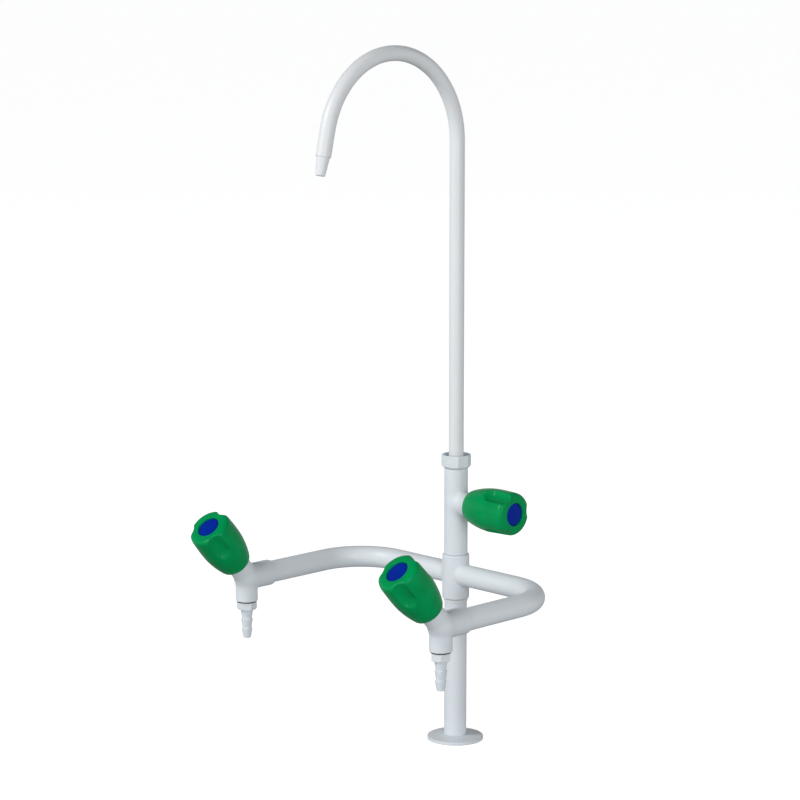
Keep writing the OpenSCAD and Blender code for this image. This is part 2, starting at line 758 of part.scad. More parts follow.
module bonnet() {
    groove_z = neck_reach - bonnet_ring_t - 2 * groove_room;
    ring_in = bonnet_d / 2 - joint_gap - bonnet_ring_t;
    cage_out = cage_r + cage_wall;
    color(brass) difference() {
        union() {
            translate([0, 0, cage_z]) cylinder(r = cage_out, h = bonnet_z - cage_z + past);
            translate([0, 0, max(bonnet_z, chamber_front) + face_gap])
                cylinder(r = bonnet_d / 2 - joint_gap,
                    h = neck_reach - max(bonnet_z, chamber_front) - face_gap);
            translate([0, 0, neck_reach]) flats(6, bonnet_af, bonnet_hex_h);
            translate([0, 0, neck_reach + bonnet_hex_h]) cylinder(d = sleeve_d, h = sleeve_h);
        }
        translate([0, 0, cage_z - past]) cylinder(r = cage_r, h = bonnet_z - cage_z + past);
        translate([0, 0, cage_z]) cylinder(r = spindle_r + run_fit, h = bonnet_top - cage_z + past);
        translate([-chamber_d, -window_w / 2, moving_disc_z])
            cube([2 * chamber_d, window_w, drive_z - window_web - moving_disc_z]);
        rotate([0, 0, -stop_play]) translate([0, 0, drive_z])
            rotate_extrude(angle = stop_travel + lug_angle + 2 * stop_play)
                translate([cage_r - bite, 0]) square([cage_wall + 2 * bite, bonnet_z - drive_z]);
        ring(ring_in - joint_gap, bonnet_d, groove_z, groove_z + bonnet_ring_t + groove_room);
    }
}

module bonnet_o_ring() {
    groove_z = neck_reach - bonnet_ring_t - 2 * groove_room;
    color(rubber)
        o_ring(bonnet_d / 2 - joint_gap, bonnet_ring_t, groove_z + (bonnet_ring_t + groove_room) / 2);
}

module seat_seal() {
    color(rubber) ring(disc_d / 2 - seat_seal_w, disc_d / 2, seat_z, fixed_disc_z);
}

// Ceramic disc with two opposite ports, which reach out to a given radius
module ported_disc(z, port_turn, port_end) {
    difference() {
        translate([0, 0, z]) cylinder(d = disc_d, h = disc_t);
        for (side = [0, 180]) translate([0, 0, z - past]) rotate([0, 0, port_turn + side - port_angle / 2])
            rotate_extrude(angle = port_angle) translate([port_start, 0])
                square([port_end - port_start, disc_t + 2 * past]);
    }
}

module fixed_disc() {
    color(ceramic) ported_disc(fixed_disc_z, 0, disc_d / 2 - port_rim);
}

// Its ports run out through the edge, so that water leaves sideways by the cage's windows
module moving_disc() {
    tongue_slot = tongue_w + 2 * joint_gap;
    slot_z = drive_z - tongue_h - joint_gap;
    color(ceramic) difference() {
        ported_disc(moving_disc_z, 90, disc_d / 2 + past);
        translate([-disc_d, -tongue_slot / 2, slot_z]) cube([2 * disc_d, tongue_slot, tongue_h + past]);
    }
}

function spindle_ring_levels() = [neck_reach - lower_seal_drop, neck_reach - upper_seal_drop];

module spindle() {
    groove_h = spindle_ring_t + groove_room;
    color(brass) difference() {
        union() {
            translate([0, 0, drive_z]) cylinder(r = disc_d / 2 - drive_play, h = drive_t);
            translate([0, 0, drive_z]) rotate_extrude(angle = lug_angle)
                translate([spindle_r, 0]) square([cage_r + cage_wall - drive_play - spindle_r, drive_t]);
            intersection() {
                translate([0, 0, drive_z - tongue_h])
                    cylinder(r = disc_d / 2 - drive_play, h = tongue_h + bite);
                translate([-disc_d, -tongue_w / 2, drive_z - tongue_h])
                    cube([2 * disc_d, tongue_w, tongue_h + bite]);
            }
            translate([0, 0, drive_z]) cylinder(r = spindle_r, h = socket_floor_z - drive_z);
            intersection() {
                translate([0, 0, socket_floor_z - bite]) cylinder(r = spindle_r, h = drive_len + bite);
                translate([-spindle_d, -drive_af / 2, socket_floor_z - bite])
                    cube([2 * spindle_d, drive_af, drive_len + bite]);
            }
        }
        for (z = spindle_ring_levels())
            ring(spindle_r - spindle_ring_t, spindle_d, z - groove_h / 2, z + groove_h / 2);
        ring(spindle_r - circlip_groove, spindle_d, circlip_z, circlip_z + circlip_t + face_gap);
        translate([0, 0, spindle_top - screw_len])
            cylinder(r = screw_d / 2 + joint_gap, h = screw_len + past);
    }
}

module spindle_o_rings() {
    color(rubber) for (z = spindle_ring_levels()) o_ring(spindle_r + run_fit / 2, spindle_ring_t, z);
}

module circlip() {
    inner_r = spindle_r - circlip_groove + joint_gap;
    color(steel) translate([0, 0, circlip_z + face_gap / 2]) rotate([0, 0, circlip_open / 2])
        rotate_extrude(angle = 360 - circlip_open) translate([inner_r, 0])
            square([circlip_d / 2 - inner_r, circlip_t]);
}

// Cutter for one finger flute: a round groove with a ball end, open at the knob's outer end
module flute_cutter() {
    rotate_extrude() {
        square([flute_r, flute_len + past]);
        intersection() {
            circle(r = flute_r);
            translate([0, -flute_r]) square([flute_r, flute_r]);
        }
    }
}

module knob(turn) {
    foot_r = skirt_r + knob_foot_wall;
    belly_r = foot_r + knob_swell;
    end_r = belly_r - knob_taper;
    flute_axis = end_r - flute_depth + flute_r;
    color(green) difference() {
        translate([0, 0, knob_z]) rotate_extrude() {
            rounded_end(foot_r, knob_foot_round, 0, -1);
            swelling(foot_r - foot_tuck, belly_r, knob_foot_round, knob_belly);
            swelling(end_r, belly_r, knob_len - knob_rim_round, knob_belly);
            rounded_end(end_r, knob_rim_round, knob_len, 1);
        }
        for (i = [0 : flute_count - 1]) rotate([0, 0, turn + i * 360 / flute_count])
            translate([flute_axis, 0, knob_end_z - flute_len]) flute_cutter();
        translate([0, 0, knob_z - past]) cylinder(r = skirt_r, h = socket_floor_z - knob_z + past);
        intersection() {
            translate([0, 0, socket_floor_z - past])
                cylinder(r = spindle_r + joint_gap, h = drive_len + past + face_gap);
            translate([-spindle_d, -drive_af / 2 - joint_gap, socket_floor_z - past])
                cube([2 * spindle_d, drive_af + 2 * joint_gap, drive_len + past + face_gap]);
        }
        translate([0, 0, spindle_top]) cylinder(r = screw_hole_r, h = knob_web + past);
        translate([0, 0, screw_seat_z]) cylinder(r = well_r, h = knob_len);
        translate([0, 0, button_z]) cylinder(r = button_d / 2 + joint_gap, h = knob_len);
    }
}

module knob_screw() {
    thread_bottom = screw_seat_z - screw_len;
    color(steel) difference() {
        union() {
            translate([0, 0, thread_bottom]) cylinder(d = screw_d, h = screw_len + bite);
            translate([0, 0, screw_seat_z]) cylinder(d = screw_head_d, h = screw_head_h);
        }
        translate([-slot_w / 2, -screw_head_d, screw_seat_z + screw_head_h - slot_depth])
            cube([slot_w, 2 * screw_head_d, slot_depth + past]);
    }
}

module index_button() {
    color(blue) {
        translate([0, 0, button_z]) cylinder(d = button_d, h = button_t);
        translate([0, 0, button_z - button_plug])
            cylinder(r = well_r - joint_gap, h = button_plug + bite);
    }
}

base_flange();
column_tube();
inlet_bush();
hub_ring();
arm_hub();
left_arm();
right_arm();
upper_body();
union_nut();
swivel_washer();
spout_spigot();
spout_o_rings();
spout_tube();
spout_nozzle();
left_valve_body();
right_valve_body();
left_nozzle_seal();
right_nozzle_seal();
left_hose_nozzle();
right_hose_nozzle();
left_place() bonnet();  // left_bonnet
left_place() bonnet_o_ring();  // left_bonnet_o_ring
left_place() seat_seal();  // left_seat_seal
left_place() fixed_disc();  // left_fixed_disc
left_place() moving_disc();  // left_moving_disc
left_place() spindle();  // left_spindle
left_place() spindle_o_rings();  // left_spindle_o_rings
left_place() circlip();  // left_circlip
left_place() knob(left_knob_turn);  // left_knob
left_place() knob_screw();  // left_knob_screw
left_place() index_button();  // left_index_button
right_place() bonnet();  // right_bonnet
right_place() bonnet_o_ring();  // right_bonnet_o_ring
right_place() seat_seal();  // right_seat_seal
right_place() fixed_disc();  // right_fixed_disc
right_place() moving_disc();  // right_moving_disc
right_place() spindle();  // right_spindle
right_place() spindle_o_rings();  // right_spindle_o_rings
right_place() circlip();  // right_circlip
right_place() knob(right_knob_turn);  // right_knob
right_place() knob_screw();  // right_knob_screw
right_place() index_button();  // right_index_button
top_place() bonnet();  // top_bonnet
top_place() bonnet_o_ring();  // top_bonnet_o_ring
top_place() seat_seal();  // top_seat_seal
top_place() fixed_disc();  // top_fixed_disc
top_place() moving_disc();  // top_moving_disc
top_place() spindle();  // top_spindle
top_place() spindle_o_rings();  // top_spindle_o_rings
top_place() circlip();  // top_circlip
top_place() knob(top_knob_turn);  // top_knob
top_place() knob_screw();  // top_knob_screw
top_place() index_button();  // top_index_button
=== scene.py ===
import json
import math

import bpy
from mathutils import Matrix, Vector


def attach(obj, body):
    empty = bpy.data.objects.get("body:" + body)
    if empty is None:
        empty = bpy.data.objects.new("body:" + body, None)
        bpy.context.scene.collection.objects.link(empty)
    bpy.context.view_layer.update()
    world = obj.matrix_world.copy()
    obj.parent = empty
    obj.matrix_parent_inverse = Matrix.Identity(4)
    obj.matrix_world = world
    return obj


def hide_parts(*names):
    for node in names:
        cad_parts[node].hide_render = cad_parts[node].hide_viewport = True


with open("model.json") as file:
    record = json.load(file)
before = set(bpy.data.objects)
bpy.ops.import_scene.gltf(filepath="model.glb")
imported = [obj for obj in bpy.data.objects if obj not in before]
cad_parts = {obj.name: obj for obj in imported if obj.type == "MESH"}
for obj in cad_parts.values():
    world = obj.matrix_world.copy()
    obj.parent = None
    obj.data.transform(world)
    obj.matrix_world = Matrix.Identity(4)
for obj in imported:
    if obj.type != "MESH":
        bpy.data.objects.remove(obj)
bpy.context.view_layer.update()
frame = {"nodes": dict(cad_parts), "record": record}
nodes = frame["nodes"]
mm = 0.001
print("frame loaded:", len(nodes), "CAD pieces")


# camera, as the picture was taken: a long lens a little above the valves
cameraLook = {
    "place": (1.7672, -1.8252, 0.7779),
    "direction": (-0.70040, 0.69306, -0.17059),
    "lens": 120.2,
    "sensor": 36.0,
    "reach": 200.0,
}
cameraData = bpy.data.cameras.new("camera")
cameraData.lens = cameraLook["lens"]
cameraData.sensor_width = cameraLook["sensor"]
cameraData.clip_end = cameraLook["reach"]
camera = bpy.data.objects.new("camera", cameraData)
camera.location = cameraLook["place"]
camera.rotation_mode = "QUATERNION"
camera.rotation_quaternion = Vector(cameraLook["direction"]).to_track_quat("-Z", "Y")
bpy.context.scene.collection.objects.link(camera)
bpy.context.scene.camera = camera
print("camera set")


# a socket that can stand in sums, in material trees and geometry trees alike
class Wire:
    def __init__(self, tree, socket=None):
        self.tree = tree
        self.socket = socket

    # any node: its type, its settings, the values or links of its sockets, and the output that is wanted
    def node(self, kind, settings=None, values=None, output=0):
        made = self.tree.nodes.new(kind)
        for name, value in (settings or {}).items():
            if name == "stops":
                ramp = made.color_ramp
                while len(ramp.elements) < len(value):
                    ramp.elements.new(0.5)
                for element, (position, colour) in zip(ramp.elements, value):
                    element.position = position
                    element.color = (*colour, 1)
            else:
                setattr(made, name, value)
        for name, value in (values or {}).items():
            if isinstance(value, Wire):
                self.tree.links.new(value.socket, made.inputs[name])
            else:
                made.inputs[name].default_value = value
        return Wire(self.tree, made.outputs[output])

    def calc(self, operation, first, second=0.0, third=0.0):
        return self.node("ShaderNodeMath", {"operation": operation}, {0: first, 1: second, 2: third})

    def __add__(self, other):
        return self.calc("ADD", self, other)

    def __radd__(self, other):
        return self.calc("ADD", other, self)

    def __sub__(self, other):
        return self.calc("SUBTRACT", self, other)

    def __rsub__(self, other):
        return self.calc("SUBTRACT", other, self)

    def __mul__(self, other):
        return self.calc("MULTIPLY", self, other)

    def __rmul__(self, other):
        return self.calc("MULTIPLY", other, self)

    def __truediv__(self, other):
        return self.calc("DIVIDE", self, other)

    def __rtruediv__(self, other):
        return self.calc("DIVIDE", other, self)

    def __neg__(self):
        return self.calc("SUBTRACT", 0.0, self)

    def __abs__(self):
        return self.calc("ABSOLUTE", self)

    def root(self):
        return self.calc("SQRT", self)

    def atMost(self, other, soft=0.0):
        return self.calc("SMOOTH_MIN", self, other, soft)

    def atLeast(self, other, soft=0.0):
        return self.calc("SMOOTH_MAX", self, other, soft)

    def clamped(self):
        return self.atLeast(0.0).atMost(1.0)


# materials
def newMaterial(name, constants):
    material = bpy.data.materials.new(name)
    material.use_nodes = True
    tree = material.node_tree
    shader = tree.nodes["Principled BSDF"]
    for label, value in constants.items():
        shader.inputs[label].default_value = value
    return material, Wire(tree), shader


def feed(shader, label, wire):
    wire.tree.links.new(wire.socket, shader.inputs[label])


def noise(pen, place, scale, detail=2.0):
    return pen.node("ShaderNodeTexNoise", {}, {"Vector": place, "Scale": scale, "Detail": detail}, "Fac")


def mixColour(pen, share, first, second):
    values = {0: share, 6: first, 7: second}
    return pen.node("ShaderNodeMix", {"data_type": "RGBA", "clamp_factor": True}, values, 2)


def bump(pen, height, strength, distance):
    values = {"Height": height, "Strength": strength, "Distance": distance}
    return pen.node("ShaderNodeBump", {}, values, "Normal")


coatLook = {
    "cool": {
        "colour": (0.735, 0.785, 0.82, 1),
        "shade": (0.705, 0.755, 0.795, 1),
        "speck": (0.56, 0.585, 0.61, 1),
    },
    "plain": {
        "colour": (0.765, 0.787, 0.797, 1),
        "shade": (0.735, 0.757, 0.768, 1),
        "speck": (0.57, 0.585, 0.595, 1),
    },
    # a lighter copy of the coat for the arms: painted light standing in for the brighter light falling on
    # them
    "light": {
        "colour": (0.77, 0.816, 0.848, 1),
        "shade": (0.74, 0.787, 0.823, 1),
        "speck": (0.58, 0.60, 0.625, 1),
    },
    "ior": 1.5,
    "patchScale": 16.0,
    "patchDetail": 3.0,
    "patchStart": 0.3,
    "patchGain": 1.6,
    "peelScale": 620.0,
    "grainScale": 2600.0,
    "speckScale": 260.0,
    "speckSize": 0.09,
    "speckGain": 30.0,
    "speckStart": 0.52,
    "speckSpread": 8.0,
    "speckShare": 0.35,
    "roughLow": 0.33,
    "roughSpan": 0.14,
    "peelShare": 0.6,
    "grainShare": 0.4,
    "grainBump": 0.25,
    "bumpStrength": 0.16,
    "bumpDepth": 0.00018,
}


def makeCoat(name):
    look = coatLook
    tint = look[name]
    material, pen, shader = newMaterial(name + "Coat", {"IOR": look["ior"]})
    place = pen.node("ShaderNodeTexCoord", output="Object")
    patch = noise(pen, place, look["patchScale"], look["patchDetail"])
    peel = noise(pen, place, look["peelScale"])
    grain = noise(pen, place, look["grainScale"])
    cells = pen.node("ShaderNodeTexVoronoi", {}, {"Vector": place, "Scale": look["speckScale"]}, "Distance")
    dot = ((look["speckSize"] - cells) * look["speckGain"]).clamped()
    speck = dot * ((patch - look["speckStart"]) * look["speckSpread"]).clamped()
    colour = mixColour(pen, (patch - look["patchStart"]) * look["patchGain"], tint["colour"], tint["shade"])
    colour = mixColour(pen, speck * look["speckShare"], colour, tint["speck"])
    unevenness = peel * look["peelShare"] + grain * look["grainShare"]
    height = peel + grain * look["grainBump"]
    feed(shader, "Base Color", colour)
    feed(shader, "Roughness", look["roughLow"] + look["roughSpan"] * unevenness)
    feed(shader, "Normal", bump(pen, height, look["bumpStrength"], look["bumpDepth"]))
    return material


plasticLook = {
    "green": {
        "colour": (0.0002, 0.325, 0.094, 1),
        "deep": (0.0001, 0.235, 0.060, 1),
        "scuff": (0.004, 0.40, 0.14, 1),
    },
    "blue": {
        "colour": (0.0006, 0.024, 0.335, 1),
        "deep": (0.0005, 0.017, 0.27, 1),
        "scuff": (0.006, 0.045, 0.44, 1),
    },
    "shader": {"IOR": 1.49, "Specular IOR Level": 0.075},
    "flowScale": 55.0,
    "flowDetail": 3.0,
    "flowStart": 0.3,
    "flowGain": 1.5,
    "flowBump": 1.5,
    "grainScale": 1900.0,
    "scratchScale": 240.0,
    "scratchDetail": 4.0,
    "scratchStretch": (1.0, 9.0, 2.0),
    "scratchTurn": (0.3, 0.5, 0.9),
    "scratchStart": 0.66,
    "scratchGain": 9.0,
    "scuffShare": 0.30,
    "roughLow": 0.13,
    "roughSpan": 0.14,
    "flowShare": 0.5,
    "markShare": 0.5,
    "bumpStrength": 0.06,
    "bumpDepth": 0.00012,
}


def makePlastic(name):
    look = plasticLook
    tint = look[name]
    material, pen, shader = newMaterial(name + "Moulding", look["shader"])
    place = pen.node("ShaderNodeTexCoord", output="Object")
    flow = noise(pen, place, look["flowScale"], look["flowDetail"])
    grain = noise(pen, place, look["grainScale"])
    stretched = pen.node("ShaderNodeMapping", {}, {
        "Vector": place, "Scale": look["scratchStretch"], "Rotation": look["scratchTurn"]})
    scratch = noise(pen, stretched, look["scratchScale"], look["scratchDetail"])
    mark = ((scratch - look["scratchStart"]) * look["scratchGain"]).clamped()
    colour = mixColour(pen, (flow - look["flowStart"]) * look["flowGain"], tint["colour"], tint["deep"])
    colour = mixColour(pen, mark * look["scuffShare"], colour, tint["scuff"])
    wear = flow * look["flowShare"] + mark * look["markShare"]
    height = grain + flow * look["flowBump"]
    feed(shader, "Base Color", colour)
    feed(shader, "Roughness", look["roughLow"] + look["roughSpan"] * wear)
    feed(shader, "Normal", bump(pen, height, look["bumpStrength"], look["bumpDepth"]))
    return material


metalLook = {
    "brass": {"colour": (0.72, 0.50, 0.20, 1), "dull": (0.52, 0.34, 0.13, 1), "rough": 0.24},
    "steel": {"colour": (0.62, 0.63, 0.65, 1), "dull": (0.42, 0.43, 0.45, 1), "rough": 0.28},
    "toolScale": 1500.0,
    "toolStretch": (0.15, 1.0, 1.0),
    "toolRough": 0.08,
    "stainScale": 90.0,
    "stainDetail": 3.0,
    "stainStart": 0.35,
    "stainGain": 2.0,
    "stainRough": 0.16,
    "bumpStrength": 0.12,
    "bumpDepth": 0.00006,
}


def makeMetal(name):
    look = metalLook
    tint = look[name]
    material, pen, shader = newMaterial("turned" + name.title(), {"Metallic": 1.0})
    place = pen.node("ShaderNodeTexCoord", output="Object")
    stain = noise(pen, place, look["stainScale"], look["stainDetail"])
    tooled = pen.node("ShaderNodeMapping", {}, {"Vector": place, "Scale": look["toolStretch"]})
    lines = noise(pen, tooled, look["toolScale"])
    dulled = (stain - look["stainStart"]) * look["stainGain"]
    feed(shader, "Base Color", mixColour(pen, dulled, tint["colour"], tint["dull"]))
    feed(shader, "Roughness", tint["rough"] + look["stainRough"] * stain + look["toolRough"] * lines)
    feed(shader, "Normal", bump(pen, lines, look["bumpStrength"], look["bumpDepth"]))
    return material


fillLook = {
    "ceramic": {
        "colour": (0.86, 0.84, 0.78, 1),
        "shade": (0.78, 0.75, 0.68, 1),
        "rough": 0.18,
        "grain": 1400.0,
    },
    "rubber": {
        "colour": (0.020, 0.020, 0.022, 1),
        "shade": (0.035, 0.035, 0.037, 1),
        "rough": 0.62,
        "grain": 1800.0,
    },
    "nylon": {
        "colour": (0.78, 0.80, 0.81, 1),
        "shade": (0.72, 0.74, 0.75, 1),
        "rough": 0.42,
        "grain": 1200.0,
    },
    "patchScale": 120.0,
    "patchDetail": 3.0,
    "patchStart": 0.3,
    "patchGain": 1.6,
    "roughSpan": 0.12,
    "bumpStrength": 0.15,
    "bumpDepth": 0.00008,
}


def makeFill(name):
    look = fillLook
    tint = look[name]
    material, pen, shader = newMaterial(name + "Fill", {})
    place = pen.node("ShaderNodeTexCoord", output="Object")
    patch = noise(pen, place, look["patchScale"], look["patchDetail"])
    grain = noise(pen, place, tint["grain"])
    shaded = (patch - look["patchStart"]) * look["patchGain"]
    feed(shader, "Base Color", mixColour(pen, shaded, tint["colour"], tint["shade"]))
    feed(shader, "Roughness", tint["rough"] + look["roughSpan"] * (grain - 0.5))
    feed(shader, "Normal", bump(pen, grain, look["bumpStrength"], look["bumpDepth"]))
    return material


finishes = {
    "white_coating": makeCoat("cool"),
    "green_plastic": makePlastic("green"),
    "blue_plastic": makePlastic("blue"),
    "brass": makeMetal("brass"),
    "steel": makeMetal("steel"),
    "ceramic": makeFill("ceramic"),
    "rubber": makeFill("rubber"),
    "nylon": makeFill("nylon"),
}
for part in frame["record"]["subparts"]:
    slots = nodes[part["node"]].data.materials
    slots.clear()
    slots.append(finishes[part["material_slot"]])
# bent tubes get coats of their own: the spout a little less blue, and the arms a lighter copy of the coat,
# painted light standing in for the brighter light they catch
spoutCoat = makeCoat("plain")
armsLitCoat = makeCoat("light")
for tube, coat in {"spout_tube": spoutCoat, "left_arm": armsLitCoat, "right_arm": armsLitCoat}.items():
    nodes[tube].data.materials[0] = coat
print("finishes made:", len(finishes), "and the tubes' own coats")


# solids grown from a rule: the rule gives the distance to the surface at every point, below zero inside;
# the density fades over a few steps of the block, and the skin is where it passes the surface's density
fadeSteps = 6.0
skinDensity = 0.5


def growSolid(name, sizes, rule, block, material):
    tree = bpy.data.node_groups.new(name + "Rule", "GeometryNodeTree")
    tree.interface.new_socket(name="Solid", in_out="OUTPUT", socket_type="NodeSocketGeometry")
    sockets = {}
    for label in sizes:
        made = tree.interface.new_socket(name=label, in_out="INPUT", socket_type="NodeSocketFloat")
        sockets[label] = made.identifier
    entry = tree.nodes.new("NodeGroupInput")
    size = {label: Wire(tree, entry.outputs[label]) for label in sizes}
    pen = Wire(tree)
    point = pen.node("GeometryNodeInputPosition")
    x = pen.node("ShaderNodeSeparateXYZ", {}, {0: point}, 0)
    parts = x.socket.node.outputs
    y = Wire(tree, parts[1])
    z = Wire(tree, parts[2])
    distance = rule(size, x, y, z)
    density = (skinDensity - distance / (fadeSteps * block["step"])).clamped()
    counts = [math.ceil((b - a) / block["step"]) + 1 for a, b in zip(block["low"], block["high"])]
    volume = pen.node("GeometryNodeVolumeCube", {}, {
        "Density": density, "Min": block["low"], "Max": block["high"],
        "Resolution X": counts[0], "Resolution Y": counts[1], "Resolution Z": counts[2]})
    skin = pen.node("GeometryNodeVolumeToMesh", {}, {
        "Volume": volume, "Threshold": skinDensity, "Adaptivity": 0.0})
    smooth = pen.node("GeometryNodeSetShadeSmooth", {}, {0: skin})
    real = pen.node("GeometryNodeRealizeInstances", {}, {0: smooth})
    dressed = pen.node("GeometryNodeSetMaterial", {}, {0: real, "Material": material})
    leave = tree.nodes.new("NodeGroupOutput")
    tree.links.new(dressed.socket, leave.inputs["Solid"])
    carrier = bpy.data.objects.new(name + "Carrier", bpy.data.meshes.new(name + "Carrier"))
    bpy.context.scene.collection.objects.link(carrier)
    modifier = carrier.modifiers.new("rule", "NODES")
    modifier.node_group = tree
    for label, value in sizes.items():
        modifier[sockets[label]] = value
    graph = bpy.context.evaluated_depsgraph_get()
    mesh = bpy.data.meshes.new_from_object(carrier.evaluated_get(graph))
    carrier.modifiers.remove(modifier)
    bpy.data.objects.remove(carrier)
    mesh.name = name
    print(name, "grown:", len(mesh.polygons), "faces")
    return mesh


def placePiece(name, mesh, matrix, body, slot, *stoodFor):
    own = mesh.copy()
    own.transform(matrix)
    own.update()
    piece = bpy.data.objects.new(name, own)
    bpy.context.scene.collection.objects.link(piece)
    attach(piece, body)
    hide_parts(*stoodFor)


def length2(a, b):
    return (a * a + b * b).root()


# distance past the nearer end of a stretch
def outside(value, start, end):
    return (start - value).atLeast(value - end)


# an angle folded into the middle share of a turn cut into equal shares
def folded(angle, share):
    return angle - share * angle.calc("ROUND", angle / share)


diagonal = math.sqrt(0.5)
armLevel = 166.6 * mm
topValveLevel = 237 * mm
sideValves = {"left": (-132 * mm, -155.4 * mm), "right": (132 * mm, -155.4 * mm)}
valveTilt = math.radians(41.5)
valveToe = {"left": math.radians(4.6), "right": math.radians(-4.6)}
topTurn = Matrix.Rotation(math.radians(90), 4, "Y")
valvePlaces = {"top": Matrix.Translation((0, 0, topValveLevel)) @ topTurn}
for side, (across, forward) in sideValves.items():
    lean = Matrix.Rotation(valveToe[side], 4, "Z") @ Matrix.Rotation(valveTilt, 4, "X")
    valvePlaces[side] = Matrix.Translation((across, forward, armLevel)) @ lean


# knobs: a barrel with three finger flutes, a recessed end and a hollow foot
knobShape = {
    "foot level": 21.4 * mm,
    "length": 57 * mm,
    "foot radius": 15 * mm,
    "foot rounding": 4.6 * mm,
    "belly radius": 21.3 * mm,
    "belly height": 34 * mm,
    "end radius": 20.5 * mm,
    "rim rounding": 7.6 * mm,
    "flutes": 3,
    "flute radius": 10 * mm,
    "flute depth": 3.8 * mm,
    "flute length": 19.6 * mm,
    "flute edge": 1.5 * mm,
    "button radius": 11.05 * mm,
    "button depth": 3.5 * mm,
    "skirt radius": 12 * mm,
    "skirt depth": 10.8 * mm,
    "spindle radius": 4.05 * mm,
    "well radius": 4.6 * mm,
    "well level": 24.2 * mm,
    "fine edge": 0.7 * mm,
}
knobTurns = {"left": 82, "right": 73, "top": 93}


def knobRule(s, x, y, z):
    up = z - s["foot level"]
    out = length2(x, y)
    below = up.calc("LESS_THAN", up, s["belly height"])
    narrow = s["end radius"] + below * (s["foot radius"] - s["end radius"])
    reach = (s["length"] - s["belly height"]) + below * (2.0 * s["belly height"] - s["length"])
    bow = s["belly radius"] - narrow
    arc = (bow * bow + reach * reach) / (2.0 * bow)
    rise = up - s["belly height"]
    inner = (arc * arc - rise * rise).atLeast(0.0)
    barrel = out - (s["belly radius"] - arc + inner.root())
    solid = barrel.atLeast(up - s["length"], s["rim rounding"]).atLeast(-up, s["foot rounding"])
    turned = folded(x.calc("ARCTAN2", y, x), math.tau / s["flutes"])
    axis = s["end radius"] - s["flute depth"] + s["flute radius"]
    across = out * x.calc("COSINE", turned) - axis
    aside = out * x.calc("SINE", turned)
    drop = (up - (s["length"] - s["flute length"])).atMost(0.0)
    flute = (across * across + aside * aside + drop * drop).root() - s["flute radius"]
    solid = solid.atLeast(-flute, s["flute edge"])
    button = (out - s["button radius"]).atLeast(s["length"] - s["button depth"] - up)
    skirt = (out - s["skirt radius"]).atLeast(up - s["skirt depth"])
    drive = out - s["spindle radius"]
    well = (out - s["well radius"]).atLeast(s["well level"] - up)
    solid = solid.atLeast(-button, s["fine edge"]).atLeast(-skirt, s["fine edge"])
    return solid.atLeast(-drive).atLeast(-well)


knobBlock = {
    "low": (-23 * mm, -23 * mm, 20.4 * mm),
    "high": (23 * mm, 23 * mm, 79.4 * mm),
    "step": 0.42 * mm,
}
knobMesh = growSolid("knob", knobShape, knobRule, knobBlock, finishes["green_plastic"])
for side, turn in knobTurns.items():
    turned = valvePlaces[side] @ Matrix.Rotation(math.radians(turn), 4, "Z")
    placePiece(side + "Knob", knobMesh, turned, side + "_control", "green_plastic", side + "_knob")


# index buttons: a shallow dome with a rounded rim and a snap plug
buttonShape = {
    "radius": 10.98 * mm,
    "level": 74.9 * mm,
    "height": 2.4 * mm,
    "dome radius": 110 * mm,
    "plug radius": 4.55 * mm,
    "plug length": 5 * mm,
    "edge": 1.1 * mm,
    "back edge share": 0.4,
}


def buttonRule(s, x, y, z):
    out = length2(x, y)
    top = s["level"] + s["height"]
    fall = z - (top - s["dome radius"])
    dome = (out * out + fall * fall).root() - s["dome radius"]
    face = (out - s["radius"]).atLeast(dome, s["edge"])
    face = face.atLeast(s["level"] - z, s["edge"] * s["back edge share"])
    plugSpan = outside(z, s["level"] - s["plug length"], s["level"] + s["edge"])
    plug = (out - s["plug radius"]).atLeast(plugSpan)
    return face.atMost(plug)


buttonBlock = {
    "low": (-11.8 * mm, -11.8 * mm, 69 * mm),
    "high": (11.8 * mm, 11.8 * mm, 78.2 * mm),
    "step": 0.25 * mm,
}
buttonMesh = growSolid("indexButton", buttonShape, buttonRule, buttonBlock, finishes["blue_plastic"])
for side, place in valvePlaces.items():
    placePiece(side + "IndexButton", buttonMesh, place, side + "_control", "blue_plastic",
               side + "_index_button")


# side valves: a casting whose leg, neck and arm socket run softly into each other
valveShape = {
    "leg radius": 10.75 * mm,
    "leg drop": 23.1 * mm,
    "neck radius": 11.3 * mm,
    "neck reach": 20.6 * mm,
    "neck lift": 0.85 * mm,
    "core radius": 13.1 * mm,
    "socket radius": 12.5 * mm,
    "socket reach": 29.5 * mm,
    "socket depth": 13.5 * mm,
    "arm radius": 10.7 * mm,
    "nozzle radius": 7.75 * mm,
    "nozzle depth": 9.2 * mm,
    "bonnet radius": 9.5 * mm,
    "bonnet level": 4 * mm,
    "neck blend": 2.8 * mm,
    "socket blend": 2.2 * mm,
    "socket edge": 2.4 * mm,
    "edge": 1.4 * mm,
    "hole edge share": 0.5,
    "foot edge": 0.5 * mm,
}


